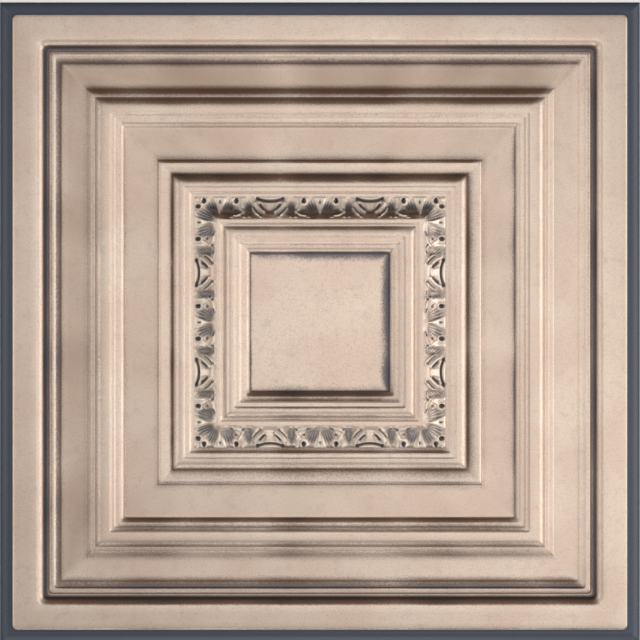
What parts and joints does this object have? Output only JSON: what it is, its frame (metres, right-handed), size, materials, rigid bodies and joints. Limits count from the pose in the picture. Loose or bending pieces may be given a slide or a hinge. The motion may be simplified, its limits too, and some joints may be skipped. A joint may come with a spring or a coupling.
{
  "type": "pvc ceiling tile",
  "caption": "Square lay-in ceiling tile vacuum-formed from thin PVC, with nested mouldings, a leaf border and a plain centre panel in antique copper paint.",
  "frame": {"origin": "middle of the tile, on the plane of the lip's back face", "axes": "+Z out of the painted face, +Y towards the top of the picture"},
  "size_m": [0.603, 0.603, 0.0224],
  "materials": {
    "painted_pvc": "satin"
  },
  "bodies": {
    "root": {"ceiling_tile": "painted_pvc"}
  },
  "joints": []
}
